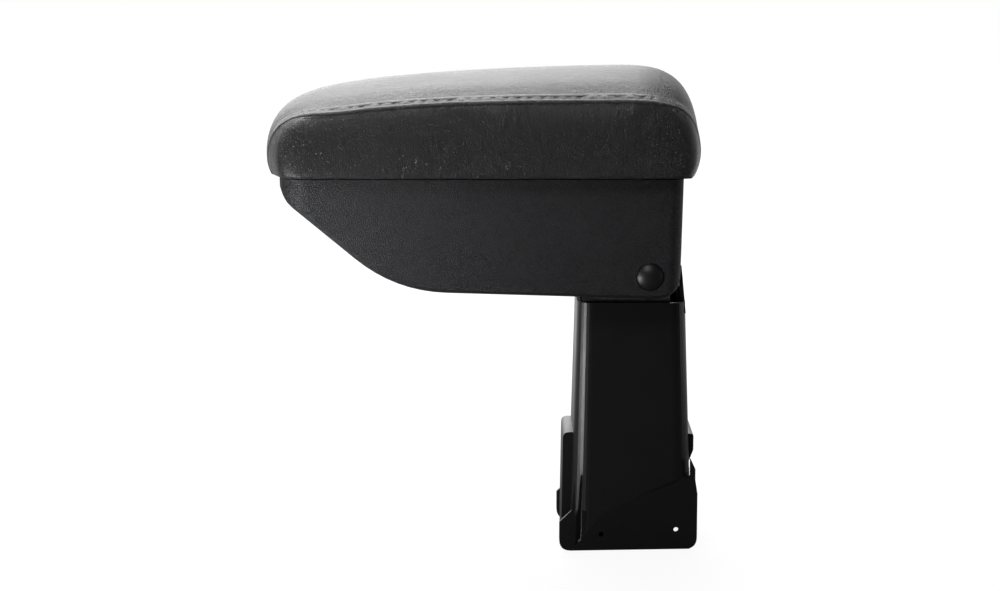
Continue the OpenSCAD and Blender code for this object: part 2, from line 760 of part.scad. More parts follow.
// A shell between two sets of rings, open below; an end is capped, or left open at a seam
module skin(outer, inner, cap_first, cap_last) {
    k = len(outer);
    n = len(outer[0]);
    inside = k * n;
    points = concat([for (r = outer) for (p = r) p], [for (r = inner) for (p = r) p]);
    last = (k - 1) * n;
    wall = [for (j = [0 : k - 2], i = [0 : n - 2]) let(a = j * n + i)
        each [[a, a + n, a + n + 1, a + 1],
              [inside + a, inside + a + 1, inside + a + n + 1, inside + a + n]]];
    foot = [for (j = [0 : k - 2]) let(a = j * n, b = j * n + n - 1)
        each [[a, inside + a, inside + a + n, a + n],
              [b, b + n, inside + b + n, inside + b]]];
    first_end = cap_first
        ? [[for (i = [0 : n - 1]) i], [for (i = [n - 1 : -1 : 0]) inside + i],
           [0, n - 1, inside + n - 1, inside]]
        : [for (i = [0 : n - 2]) [i, i + 1, inside + i + 1, inside + i]];
    last_end = cap_last
        ? [[for (i = [n - 1 : -1 : 0]) last + i], [for (i = [0 : n - 1]) inside + last + i],
           [last, inside + last, inside + last + n - 1, last + n - 1]]
        : [for (i = [0 : n - 2]) let(a = last + i) [a, inside + a, inside + a + 1, a + 1]];
    polyhedron(points, concat(wall, foot, first_end, last_end), convexity = 6);
}

foam_gap = 0.3;

// Foam pad over the lid's shell
module lid_foam() {
    d = cover_t + foam_gap;
    low = lid_inside_z + 0.6;
    color([0.80, 0.78, 0.66])
        skin(rings(all_y, d, low), rings(all_y, d + foam_t, low), true, true);
}

// Leatherette panel over the top and both ends
module cover_top_panel() {
    color(black) skin(rings(top_y, 0, cover_z), rings(top_y, cover_t, cover_z), false, false);
}

// Leatherette side panel, sewn to the top panel along the seam
module cover_side(s) {
    color(black) mirror([0, s < 0 ? 1 : 0, 0])
        skin(rings(side_y, 0, cover_z), rings(side_y, cover_t, cover_z), false, true);
}

module cover_side_left() { cover_side(-1); }
module cover_side_right() { cover_side(1); }

shell_inset = cover_t + foam_t + 4 * foam_gap;
lid_post_x = [box_front + lid_screw_inset, (box_front + box_rear) / 2, box_rear - lid_screw_inset];
lid_post_y = box_width / 2 - 23.5;
lid_screw_d = 2.6;
lid_screw_length = 12;
lid_screw_head = 1.8;

// Height of a section at the place x
function height_at(list, x) = max([for (i = [0 : len(list) - 2]) let(a = list[i], b = list[i + 1])
    if (a[0] <= x && b[0] > x) a[1] + (b[1] - a[1]) * (x - a[0]) / (b[0] - a[0])]);

// Hard inner shell of the lid, with posts for the base screws
module lid_shell() {
    d = shell_inset;
    middle = d + lid_shell_t / 2;
    roof = lid_section(lid_post_y * half_lid / (half_lid - middle), middle, lid_inside_z);
    color([0.2, 0.2, 0.21]) {
        skin(rings(all_y, d, lid_inside_z), rings(all_y, d + lid_shell_t, lid_inside_z), true, true);
        for (i = [0 : 2], s = [-1, 1]) difference() {
            translate([lid_post_x[i], s * lid_post_y, lid_inside_z])
                cylinder(d = lid_screw_d + 5.4, h = height_at(roof, lid_post_x[i]) - lid_inside_z - 0.9,
                         $fn = fine);
            translate([lid_post_x[i], s * lid_post_y, lid_inside_z - 1])
                cylinder(d = lid_screw_d, h = lid_screw_length + 2, $fn = fine);
        }
    }
}

// Plan of the lid's base plate, following the given point of the cover's lower edge
module base_plan(inset, point) {
    share = (half_lid - inset) / half_lid;
    front = [for (y = all_y) [lid_section(y, inset, cover_z)[point][0], y * share]];
    back = [for (i = [len(all_y) - 1 : -1 : 0]) let(y = all_y[i], q = lid_section(y, inset, cover_z))
        [q[len(q) - 1 - point][0], y * share]];
    polygon(concat(front, back));
}

// Base plate of the lid, with its hinge knuckles and the rib that finds the box
module lid_base() {
    lip_gap = 1.5;
    lip_t = 1.8;
    lip_h = 4;
    color([0.07, 0.07, 0.075]) difference() {
        union() {
            translate([0, 0, base_z]) linear_extrude(cover_z - base_z - 0.2) base_plan(cover_t + 1.4, 3);
            translate([0, 0, base_z]) linear_extrude(base_t) base_plan(cover_t + 0.6, 0);
            translate([0, 0, base_z - lip_h]) linear_extrude(lip_h + 0.5) difference() {
                plan(box_front + box_wall + lip_gap, box_rear - box_wall - lip_gap,
                     box_width - 2 * (box_wall + lip_gap), 16);
                plan(box_front + box_wall + lip_gap + lip_t, box_rear - box_wall - lip_gap - lip_t,
                     box_width - 2 * (box_wall + lip_gap + lip_t), 14);
                translate([box_front, -14]) square([30, 28]);
            }
            for (s = [0, 1]) mirror([0, s, 0])
                rod(hinge_x, hinge_z, knuckle_d, 2 * knuckle_length + 0.3, 3 * knuckle_length + 0.3);
            translate([catch_x, 0, magnet_z])
                cylinder(d = magnet_d + 3.2, h = base_z - magnet_z + 0.5, $fn = fine);
        }
        for (s = [0, 1]) mirror([0, s, 0])
            rod(hinge_x, hinge_z, knuckle_d + 0.8, knuckle_length - 0.3, 2 * knuckle_length + 0.15);
        rod(hinge_x, hinge_z, hinge_pin_d + 2 * fit, -far / 2, far / 2);
        for (x = lid_post_x, s = [-1, 1])
            translate([x, s * lid_post_y, base_z - 1]) cylinder(d = lid_screw_d + 0.8, h = 9, $fn = fine);
        translate([catch_x, 0, magnet_z - 1]) cylinder(d = magnet_d + 0.1, h = 1 + magnet_t, $fn = fine);
    }
}

magnet_z = ledge_z + striker_t + 0.6 + soft_gap;
magnet_t = 3;

// Magnet that keeps the lid shut
module catch_magnet() {
    color(steel) translate([catch_x, 0, magnet_z]) cylinder(d = magnet_d, h = magnet_t - 0.05, $fn = fine);
}

// Pan-head screws that hold the base plate to the lid's shell
module lid_screws() {
    color(steel) for (x = lid_post_x, s = [-1, 1])
        translate([x, s * lid_post_y, base_z]) {
            translate([0, 0, -lid_screw_head])
                cylinder(d = lid_screw_d + 3.4, h = lid_screw_head, $fn = fine);
            cylinder(d = lid_screw_d - 2 * fit, h = lid_screw_length, $fn = fine);
        }
}

// Rubber buttons on the base plate, which meet the box's rim
module lid_bumpers() {
    h = base_z - rim_z - soft_gap;
    color(rubber) for (x = [box_front + lid_screw_inset - 8, box_rear - lid_screw_inset + 18], s = [-1, 1])
        translate([x, s * (box_width - box_wall) / 2, base_z - h]) cylinder(d = 5, h = h, $fn = fine);
}

pedestal_shell();
support_leg();
foot_plate();
foot_bolts();
leg_shell_screws();
tilt_stop_pads();
pivot_bush_left();
pivot_bush_right();
storage_box();
pivot_shaft();
friction_washers();
disc_springs();
pivot_spacers();
pivot_end_washers();
pivot_screws();
pivot_cap_left();
pivot_cap_right();
box_mat();
striker_plate();
striker_screw();
lid_hinge_pin();
lid_base();
lid_shell();
lid_screws();
lid_bumpers();
catch_magnet();
lid_foam();
cover_top_panel();
cover_side_left();
cover_side_right();
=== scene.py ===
# %% [markdown]
# # A car centre armrest, dressed for its photograph
# The armrest comes as a frame of rigid parts at their real size: a steel leg in a plastic
# pedestal, a storage box that tilts on it, and a padded lid. This lesson gives every
# surface its finish and makes the soft and the sewn pieces: the leatherette panels with
# their seam, the row of stitches beside it, the foam under them and the felt in the box.

# %% Load the frame
import bpy
import json
import math
import numpy as np
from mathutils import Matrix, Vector
from mathutils.bvhtree import BVHTree
from mathutils.geometry import delaunay_2d_cdt
from mathutils.kdtree import KDTree


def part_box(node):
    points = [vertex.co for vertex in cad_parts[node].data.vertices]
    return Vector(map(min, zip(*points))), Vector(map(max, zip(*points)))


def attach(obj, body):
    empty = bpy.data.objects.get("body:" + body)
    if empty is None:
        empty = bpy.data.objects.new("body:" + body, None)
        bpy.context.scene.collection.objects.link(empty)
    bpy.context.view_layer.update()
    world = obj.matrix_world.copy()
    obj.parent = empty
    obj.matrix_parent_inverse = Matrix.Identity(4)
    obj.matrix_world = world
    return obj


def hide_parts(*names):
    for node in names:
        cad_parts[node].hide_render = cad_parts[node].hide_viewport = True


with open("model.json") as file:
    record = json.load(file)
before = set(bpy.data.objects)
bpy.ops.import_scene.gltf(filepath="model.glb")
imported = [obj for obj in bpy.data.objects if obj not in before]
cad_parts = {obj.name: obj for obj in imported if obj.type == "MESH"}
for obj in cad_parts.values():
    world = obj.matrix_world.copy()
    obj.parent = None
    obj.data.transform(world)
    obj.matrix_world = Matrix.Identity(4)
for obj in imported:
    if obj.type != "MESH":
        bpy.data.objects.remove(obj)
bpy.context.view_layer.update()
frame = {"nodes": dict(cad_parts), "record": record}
bpy.ops.object.select_all(action="DESELECT")

# %% [markdown]
# ## Sizes
# Everything is in metres, with X to the rear, Y across and Z up. A few sizes are read from
# the frame, so that what is added later follows the rigid parts. The cover ends a little
# below the top of the lid's base plate, at the height called cut_z.

# %% Sizes taken from the frame
MM = 0.001
nodes = frame["nodes"]
cover_low, cover_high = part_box("cover_top_panel")
seam_y = cover_high.y
side_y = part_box("cover_side_right")[1].y
cover_overlap = 2.0 * MM
cut_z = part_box("lid_base")[1].z - cover_overlap
print("seam at y =", round(seam_y, 4), "sides at", round(side_y, 4), "cover from", round(cut_z, 4))

# %% [markdown]
# ## The camera
# The photograph was taken from the side with a long lens, a little above the box, so the
# lid's top shows as a narrow band. A lens of 85 mm on a 36 mm sensor 1.6 m away gives that
# narrow band and the slight convergence. A camera can also be shifted to frame its object,
# but here it just looks ten degrees down at the middle of the frame.

# %% Place the camera
camera_distance = 1.6
camera_tilt = math.radians(10)
look_at = Vector((-86.25 * MM, 0, 167.1 * MM))
camera_data = bpy.data.cameras.new("camera")
camera_data.sensor_width = 36
camera_data.lens = 85
camera = bpy.data.objects.new("camera", camera_data)
bpy.context.scene.collection.objects.link(camera)
view_direction = Vector((0, math.cos(camera_tilt), -math.sin(camera_tilt)))
camera.location = look_at - view_direction * camera_distance
camera.rotation_euler = view_direction.to_track_quat("-Z", "Y").to_euler()
bpy.context.scene.camera = camera
print("camera at", tuple(round(c, 3) for c in camera.location))

# %% [markdown]
# ## Helpers for shapes
# The cover's panels are sheets that follow the foam, so they need a copy of the frame's
# cover to lean on, a way to apply a modifier, and a way to turn lists of points into a
# mesh. These three are all that the panels, the foam and the felt share. Where a sheet
# folds into a seam, an attribute on its points says how dark the shade painted there is,
# and the faces painted darkest take the second material, a matt near black: painted shade
# for the bottom of the groove.

# %% Copy parts of the frame, apply a modifier, make a mesh
def copied(names, new_name):
    """One merged mesh object with copies of the named parts."""
    bpy.ops.object.select_all(action="DESELECT")
    for name in names:
        piece = bpy.data.objects.new(new_name, nodes[name].data.copy())
        bpy.context.scene.collection.objects.link(piece)
        piece.select_set(True)
        bpy.context.view_layer.objects.active = piece
    if len(names) > 1:
        bpy.ops.object.join()
    bpy.ops.object.mode_set(mode="EDIT")
    bpy.ops.mesh.select_all(action="SELECT")
    bpy.ops.mesh.remove_doubles(threshold=0.01 * MM)
    bpy.ops.object.mode_set(mode="OBJECT")
    return bpy.context.object


def apply_modifier(piece, kind, **settings):
    """Adds a modifier with its settings and applies it."""
    bpy.context.view_layer.objects.active = piece
    modifier = piece.modifiers.new(kind.lower(), kind)
    for name, value in settings.items():
        setattr(modifier, name, value)
    bpy.ops.object.modifier_apply(modifier=modifier.name)


# Faces painted at least this dark take the near black material, painted shade in the groove
painted_black_from = 0.8


def sheet_mesh(name, points, faces, shade=()):
    """A smooth-shaded mesh object from points and faces, with shade painted into its seams."""
    mesh = bpy.data.meshes.new(name)
    mesh.from_pydata([tuple(p) for p in points], [], faces)
    mesh.update()
    # The attribute holds each point's painted shade, and the darkest faces take the near black
    if len(shade):
        painted_shade = mesh.attributes.new("painted_shade", "FLOAT", "POINT")
        painted_shade.data.foreach_set("value", shade)
        for face in mesh.polygons:
            if min(shade[i] for i in face.vertices) >= painted_black_from:
                face.material_index = 1
    piece = bpy.data.objects.new(name, mesh)
    bpy.context.scene.collection.objects.link(piece)
    bpy.ops.object.select_all(action="DESELECT")
    piece.select_set(True)
    bpy.context.view_layer.objects.active = piece
    bpy.ops.object.mode_set(mode="EDIT")
    bpy.ops.mesh.select_all(action="SELECT")
    bpy.ops.mesh.normals_make_consistent(inside=False)
    bpy.ops.object.mode_set(mode="OBJECT")
    bpy.ops.object.shade_smooth()
    return piece


print("helpers ready")

# %% [markdown]
# ## The padded form
# On the real lid a moulded foam pad pushes the leatherette outwards between its seams, so
# the panels are slightly full. The form is the cover's outer shape as one closed body, drawn
# down below its lower edge so that the wall stays straight there. It is meshed evenly at
# 4 mm, and blown up a little as cloth while its seams and its lower edge are held. A cap
# keeps every point within 1.6 mm of where it started. The fullness could also be sculpted
# by hand, but pressure in a cloth puts it where a real pad would.

# %% Make the form and swell it
form_voxel = 4 * MM
edge_room, drawn_down = 0.2 * MM, 12 * MM
held_beside_seam, held_above_cut = 2.2 * MM, 2 * MM
pad_pressure, swell_cap = 12, 1.6 * MM
cloth_frames = 20
form = copied(["cover_top_panel", "cover_side_left", "cover_side_right"], "padded_form")
bpy.ops.object.mode_set(mode="EDIT")
bpy.ops.mesh.select_all(action="SELECT")
bpy.ops.mesh.convex_hull()
bpy.ops.object.mode_set(mode="OBJECT")
for vertex in form.data.vertices:
    if vertex.co.z < cover_low.z + edge_room:
        vertex.co.z -= drawn_down
apply_modifier(form, "REMESH", mode="VOXEL", voxel_size=form_voxel, use_smooth_shade=True)
apply_modifier(form, "SMOOTH", factor=0.5, iterations=6)
start_points = np.array([v.co for v in form.data.vertices])
near_seam = np.abs(np.abs(start_points[:, 1]) - seam_y) < held_beside_seam
held_points = np.nonzero(near_seam | (start_points[:, 2] < cut_z + held_above_cut))[0]
form.vertex_groups.new(name="sewn").add([int(i) for i in held_points], 1.0, "REPLACE")
swell = form.modifiers.new("swell", "CLOTH")
swell.settings.use_pressure = True
swell.settings.uniform_pressure_force = pad_pressure
swell.settings.vertex_group_mass = "sewn"
swell.settings.effector_weights.gravity = 0
swell.settings.quality = 5
swell.settings.tension_stiffness = 5
swell.settings.compression_stiffness = 5
swell.settings.shear_stiffness = 2.5
swell.settings.bending_stiffness = 0.5
swell.collision_settings.use_collision = False
for step in range(1, cloth_frames + 1):
    bpy.context.scene.frame_set(step)
swollen = form.evaluated_get(bpy.context.evaluated_depsgraph_get())
moved = np.array([v.co for v in swollen.data.vertices]) - start_points
form.modifiers.remove(swell)
bpy.context.scene.frame_set(1)
length = np.linalg.norm(moved, axis=1, keepdims=True)
moved *= np.minimum(1, swell_cap / np.maximum(length, 1e-9))
for vertex, place in zip(form.data.vertices, start_points + moved):
    vertex.co = place
print("swelled by", round(float(length.mean()) / MM, 2), "mm on average")
apply_modifier(form, "SUBSURF", levels=1, render_levels=1)
print("form:", len(form.data.polygons), "faces")

# %% [markdown]
# ## Where the seam runs
# The seam follows the shoulder of the lid. At both ends it turns inwards, so the side
# panels wrap a little round the corners. A share of the seam's half width, given along the
# length, says how far in it is. Dividing every point by that share makes the seam straight,
# and rays that fan out from the middle of the lid then find the surface all along a line.

# %% The seam's share, and rows of points over the form
# Each end: where the seam starts to turn, over what length, how far in, how suddenly
front_turn, front_reach, front_inwards, front_power = -180 * MM, 62.5 * MM, 0.5, 2.6
rear_turn, rear_reach, rear_inwards, rear_power = 0.0, 46.6 * MM, 0.44, 3.2
past_the_end = 1.1


def seam_share(x):
    """The seam's distance from the middle, as a share of that at mid length."""
    front = np.clip((front_turn - x) / front_reach, 0, past_the_end)
    rear = np.clip((x - rear_turn) / rear_reach, 0, past_the_end)
    return 1 - front_inwards * front ** front_power - rear_inwards * rear ** rear_power


form_points = np.array([v.co for v in form.data.vertices])
form_normals = np.array([v.normal for v in form.data.vertices])
form_faces = [tuple(p.vertices) for p in form.data.polygons]
straight_points = form_points.copy()
straight_points[:, 1] /= seam_share(form_points[:, 0])
straight_form = BVHTree.FromPolygons([tuple(p) for p in straight_points], form_faces)
form_tree = BVHTree.FromPolygons([tuple(p) for p in form_points], form_faces)


def surface_normal(point):
    """The nearest point of the form and its smooth normal there."""
    place, _, index, _ = form_tree.find_nearest(Vector(point))
    corners = form_faces[index]
    weights = 1 / (np.linalg.norm(form_points[list(corners)] - np.array(place), axis=1) + 1e-7)
    normal = (form_normals[list(corners)] * weights[:, None]).sum(axis=0)
    return np.array(place), normal / np.linalg.norm(normal)


lid_middle_x, lid_middle_z = -98 * MM, 284 * MM
first_angle, last_angle, ray_count = math.radians(222), math.radians(-42), 800
found_below_cut = 4 * MM


def cross_row(straight_y, count):
    """count points over the lid at one straightened y, from the front edge to the rear."""
    middle = Vector((lid_middle_x, straight_y, lid_middle_z))
    found = []
    for angle in np.linspace(first_angle, last_angle, ray_count):
        hit = straight_form.ray_cast(middle, Vector((math.cos(angle), 0, math.sin(angle))))[0]
        if hit is not None and hit.z >= cut_z - found_below_cut:
            found.append((hit.x, straight_y * float(seam_share(hit.x)), hit.z))
    found = np.array(found)
    along = np.concatenate([[0], np.cumsum(np.linalg.norm(np.diff(found, axis=0), axis=1))])
    half = len(found) // 2
    start = np.interp(cut_z, found[:half, 2], along[:half])
    end = np.interp(-cut_z, -found[half:, 2], along[half:])
    even = np.linspace(start, end, count)
    return np.stack([np.interp(even, along, found[:, i]) for i in range(3)], axis=1)


columns = 170
seam_row = cross_row(-seam_y, columns)
seam_length = np.linalg.norm(np.diff(seam_row, axis=0), axis=1).sum()
print("seam is", round(seam_length / MM), "mm long, front end at", seam_row[0].round(4))

# %% [markdown]
# ## Rows beside the seam
# A sewn seam is a narrow groove: both panels dive into it, and just beside it the layers
# folded underneath lift them a little. So the panels get close rows near the seam. Each
# row is found by stepping away from the last one over the form, square to the seam, and
# is then moved along the surface normal by the depth that the groove has there. Bump in a
# material would be quicker, but a real groove shows from every side and casts a shadow.

# %% Step away from the seam over the form
def rows_beside(first_row, steps, side):
    """Rows at the given distances from the seam, towards side +1 or -1, with normals."""
    rows, normals = [], []
    row = np.array([surface_normal(p)[0] for p in first_row])
    normal = np.array([surface_normal(p)[1] for p in first_row])
    done = 0.0
    for distance in steps:
        run = np.gradient(first_row, axis=0)
        run /= np.linalg.norm(run, axis=1, keepdims=True)
        away = side * np.cross(normal, run)
        away /= np.linalg.norm(away, axis=1, keepdims=True)
        moved = row + away * (distance - done)
        found = [surface_normal(p) for p in moved]
        row = np.array([f[0] for f in found])
        row[:, 2] = np.maximum(row[:, 2], cut_z)
        row[[0, -1], 2] = cut_z
        normal = np.array([f[1] for f in found])
        done = distance
        rows.append(row)
        normals.append(normal)
    return rows, normals


roll_height, roll_depth = 2.4 * MM, 0.5 * MM


def edge_roll(points):
    """How far the panel's lower edge turns in under the pad, by height."""
    low = np.clip((cut_z + roll_height - points[:, 2]) / roll_height, 0, 1)
    return -roll_depth * low ** 2


# Each row: its distance from the seam, its height over the form, and how dark it is painted:
# painted shade deep in the seam's groove and in the dip where the stitches run
top_steps = np.array([0, 0.4, 0.9, 1.5, 2.3, 3.2, 4.0, 4.5, 5.0, 5.9, 7]) * MM
top_depths = np.array([-3.3, -2.8, -1.1, 0.1, 0.5, 0.35, -0.1, -0.8, -0.2, 0.05, 0.05]) * MM
top_shade = [1, 1, 0.9, 0.1, 0, 0, 0.2, 0.7, 0.2, 0, 0]
side_steps = np.array([0, 0.4, 0.9, 1.6, 2.6, 4, 6]) * MM
side_depths = np.array([-3.3, -2.6, -0.9, 0.15, 0.5, 0.5, 0.35]) * MM
side_shade = [1, 1, 0.9, 0.1, 0, 0, 0]
stitch_step = 7
top_rows, top_normals = rows_beside(seam_row, top_steps, -1)
side_rows, side_normals = rows_beside(seam_row, side_steps, 1)
print("top rows end at y", round(float(top_rows[-1][columns // 2][1]) / MM, 1),
      "and side rows at", round(float(side_rows[-1][columns // 2][1]) / MM, 1), "mm")

# %% [markdown]
# ## The top panel
# One panel of leatherette runs from the front edge over the top to the rear edge. It is
# built for one half as a grid of rows, mirrored, and closed in the middle, so both halves
# are alike. A grid that follows the seam needs far fewer faces than a fine remesh would.

# %% Grid of rows into one panel
def grid_faces(rows, count):
    """Faces of a grid with this many rows of count points."""
    faces = []
    for r in range(rows - 1):
        for c in range(count - 1):
            a = r * count + c
            faces.append((a, a + 1, a + count + 1, a + count))
    return faces


def smoothed_columns(row, times=2):
    """Evens a row out along its length, with its ends kept."""
    for _ in range(times):
        row[1:-1] = 0.25 * row[:-2] + 0.5 * row[1:-1] + 0.25 * row[2:]
    return row


middle_rows = (45, 38, 31, 24, 16, 8, 0)  # mm from the middle line, where the seam is straight
half = []
for row, normal, depth in zip(top_rows, top_normals, top_depths):
    shift = depth + edge_roll(row)
    half.append(smoothed_columns(row + normal * shift[:, None]))
for straight_y in middle_rows:
    row = cross_row(-straight_y * MM, columns)
    found = [surface_normal(p) for p in row]
    normal = np.array([f[1] for f in found])
    half.append(smoothed_columns(row + normal * edge_roll(row)[:, None]))
mirrored = [row * np.array([1, -1, 1]) for row in half[-2::-1]]
all_rows = half + mirrored
half_shade = top_shade + [0] * (len(half) - len(top_shade))
row_shade = half_shade + half_shade[-2::-1]
top_panel = sheet_mesh("cover_top", np.concatenate(all_rows), grid_faces(len(all_rows), columns),
                       np.repeat(row_shade, columns))
print("top panel:", len(all_rows), "rows of", columns)

# %% [markdown]
# ## The side panels
# A side panel is a flat piece sewn in all round. Near the seam it has the same kind of
# rows. Inside them a net of triangles is laid over the form: the corners are unrolled
# first, so that the net stays even where the panel wraps round them. A grid would have to
# crowd its rows together at both ends, where the panel gets low.

# %% Net of triangles inside the rows
front_corner_x, front_corner_length = -195 * MM, 30 * MM
rear_corner_x, rear_corner_length = 8 * MM, 25 * MM
middle_room = 8 * MM


def unrolled(points):
    """Places along the side and up it, with the two wrapped corners laid flat."""
    inwards = side_y - np.abs(points[:, 1])
    front = np.clip((front_corner_x - points[:, 0]) / front_corner_length, 0, 1)
    rear = np.clip((points[:, 0] - rear_corner_x) / rear_corner_length, 0, 1)
    return np.stack([points[:, 0] + inwards * (rear - front), points[:, 2]], axis=1)


flat_points = unrolled(form_points)
near_half = [f for f in form_faces if max(form_points[i][1] for i in f) < -middle_room]
flat_tree = BVHTree.FromPolygons(
    [(f[0], y, f[1]) for f, y in zip(flat_points, form_points[:, 1])], near_half)
outside_y = -0.2
roll_up_turns, roll_up_share = 12, 0.7


def from_flat(place):
    """The form's point at a place of the unrolled side: x is rolled up again in small turns."""
    hit = flat_tree.ray_cast(Vector((place[0], outside_y, place[1])), Vector((0, 1, 0)))[0]
    x = hit.x
    for _ in range(roll_up_turns):
        guess = unrolled(np.array([[x, hit.y, hit.z]]))[0][0]
        x += roll_up_share * (hit.x - guess)
    return np.array((x, hit.y, hit.z))


last_row = side_rows[-1]
ring = unrolled(last_row)
edge_count = 90
edge_line = np.linspace(ring[-1], ring[0], edge_count + 2)[1:-1]
outline = [tuple(p) for p in ring] + [tuple(p) for p in edge_line]
net_step, net_room = 4 * MM, 2.4 * MM
low_corner, high_corner = np.min(outline, axis=0), np.max(outline, axis=0)
spots = np.array(outline)
ends = np.roll(spots, -1, axis=0)


def inside_by(place, room):
    """Whether a place lies inside the outline with some room to it."""
    if np.min(np.linalg.norm(spots - place, axis=1)) < room:
        return False
    crossed = (spots[:, 1] > place[1]) != (ends[:, 1] > place[1])
    with np.errstate(divide="ignore", invalid="ignore"):
        where = spots[:, 0] + (place[1] - spots[:, 1]) * (ends - spots)[:, 0] / (ends - spots)[:, 1]
    return bool(np.sum(crossed & (place[0] < where)) % 2)


net = []
for i, x in enumerate(np.arange(low_corner[0], high_corner[0], net_step)):
    for z in np.arange(low_corner[1], high_corner[1], net_step):
        place = np.array((x, z + (i % 2) * net_step / 2))
        if inside_by(place, net_room):
            net.append(tuple(place))
flat_all = [Vector(p) for p in outline + net]
outline_ring = [list(range(len(outline)))]
inside_only, same_spot = 1, 1e-6
places, _, triangles, origins, _, _ = delaunay_2d_cdt(flat_all, [], outline_ring,
                                                      inside_only, same_spot)
print("net:", len(places), "points,", len(triangles), "triangles")

# %% [markdown]
# ### Rows and net as one sheet
# The net is flat so far. Each of its places is carried back onto the form, and those on the
# ring take the points of the last row, so that rows and net share them and the sheet has
# no slit. The other side is the same panel, mirrored.

# %% Side panel from its rows and the net
side_points = []
for row, normal, depth in zip(side_rows, side_normals, side_depths):
    shift = depth + edge_roll(row)
    side_points.append(smoothed_columns(row + normal * shift[:, None]))
grid = np.concatenate(side_points)
first_of_last = (len(side_rows) - 1) * columns
side_all = [tuple(p) for p in grid]
number = {}
for i, place in enumerate(places):
    source = origins[i][0] if origins[i] else -1
    if 0 <= source < columns:
        number[i] = first_of_last + source
        continue
    spot, normal = surface_normal(from_flat(place))
    spot = spot + normal * edge_roll(spot[None, :])[0]
    number[i] = len(side_all)
    side_all.append(tuple(spot))
side_faces = grid_faces(len(side_rows), columns)
side_faces += [tuple(number[i] for i in triangle) for triangle in triangles]
side_all = np.array(side_all)
side_pieces = {}
for name, sign in (("cover_left", 1), ("cover_right", -1)):
    shade = np.zeros(len(side_all))
    shade[:len(side_rows) * columns] = np.repeat(side_shade, columns)
    side_pieces[name] = sheet_mesh(name, side_all * np.array([1, sign, 1]), side_faces, shade)
print("side panel:", len(side_all), "points")

# %% [markdown]
# ### Thickness
# Leatherette for seats and armrests is about 1.2 mm thick. Solidify gives the sheets that
# thickness inwards, so that their outer face stays where it is, and one subdivision rounds
# them.

# %% Thickness and rounding for the three panels
cloth_thickness, cover_fill = 1.2 * MM, 0.75
for piece in (top_panel, *side_pieces.values()):
    apply_modifier(piece, "SOLIDIFY", thickness=cloth_thickness, offset=-1, use_even_offset=False)
    apply_modifier(piece, "SUBSURF", levels=1, render_levels=1)
    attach(piece, "lid")
    print(piece.name, len(piece.data.polygons), "faces")
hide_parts("cover_top_panel")
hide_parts("cover_side_left")
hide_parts("cover_side_right")

# %% [markdown]
# ## The stitches
# A row of thread runs beside the seam, on the top panel. Each stitch is a short thread
# that rises from one needle hole and dips into the next. A curve through all the holes
# would do, but one stitch is easier to shape: it is a small six-sided cylinder, cut across
# so that its ends can be bent down.

# %% One stitch
stitch_pitch, stitch_length, thread_radius = 4.3 * MM, 3.1 * MM, 0.34 * MM
stitch_dip, stitch_cuts = 0.75 * MM, (-0.36, -0.2, 0.2, 0.36)
bpy.ops.mesh.primitive_cylinder_add(vertices=6, radius=thread_radius, depth=stitch_length,
                                    rotation=(0, math.pi / 2, 0))
stitch = bpy.context.object
bpy.ops.object.transform_apply(location=True, rotation=True, scale=True)
bpy.ops.object.mode_set(mode="EDIT")
for cut in stitch_cuts:
    bpy.ops.mesh.select_all(action="SELECT")
    bpy.ops.mesh.bisect(plane_co=(cut * stitch_length, 0, 0), plane_no=(1, 0, 0))
bpy.ops.object.mode_set(mode="OBJECT")
for vertex in stitch.data.vertices:
    share = abs(vertex.co.x) / (stitch_length / 2)
    vertex.co.z -= stitch_dip * share ** 3
stitch_points = np.array([v.co for v in stitch.data.vertices])
stitch_faces = [tuple(p.vertices) for p in stitch.data.polygons]
bpy.data.objects.remove(stitch)
print("one stitch has", len(stitch_faces), "faces")

# %% [markdown]
# ### The rows of stitches
# The one stitch is copied along the row, a stitch every 4.3 mm. Each copy is turned so that
# it lies along the row and stands up from the leatherette, and it has its own points in
# one mesh per side.

# %% The rows of stitches
stitch_lift = 0.05 * MM
stitch_row = top_rows[stitch_step] + top_normals[stitch_step] * top_depths[stitch_step]
stitch_normals = top_normals[stitch_step]
along = np.concatenate([[0], np.cumsum(np.linalg.norm(np.diff(stitch_row, axis=0), axis=1))])
places_along = np.arange(stitch_pitch, along[-1] - stitch_pitch / 2, stitch_pitch)
points, faces = [], []
for place in places_along:
    middle = np.array([np.interp(place, along, stitch_row[:, i]) for i in range(3)])
    ahead = np.array([np.interp(place + MM, along, stitch_row[:, i]) for i in range(3)])
    run = (ahead - middle) / np.linalg.norm(ahead - middle)
    up = np.array([np.interp(place, along, stitch_normals[:, i]) for i in range(3)])
    up -= run * np.dot(up, run)
    up /= np.linalg.norm(up)
    turn = np.stack([run, np.cross(up, run), up])
    first = len(points)
    points += [tuple(p) for p in stitch_points @ turn + middle + up * stitch_lift]
    faces += [tuple(first + i for i in face) for face in stitch_faces]
for name, sign in (("stitches_left", 1), ("stitches_right", -1)):
    row = sheet_mesh(name, np.array(points) * np.array([1, sign, 1]), faces)
    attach(row, "lid")
print("stitches a side:", len(places_along))

# %% [markdown]
# ## The foam
# The foam pad is moulded polyurethane: one soft body with rounded edges, open below for
# the hard shell. It shows only where the cover is taken off. A copy of the frame's pad is
# meshed evenly and smoothed, and pressed in under the seams, where the folded layers of
# leatherette need room. It isn't swollen, because the cover holds it to its shape.

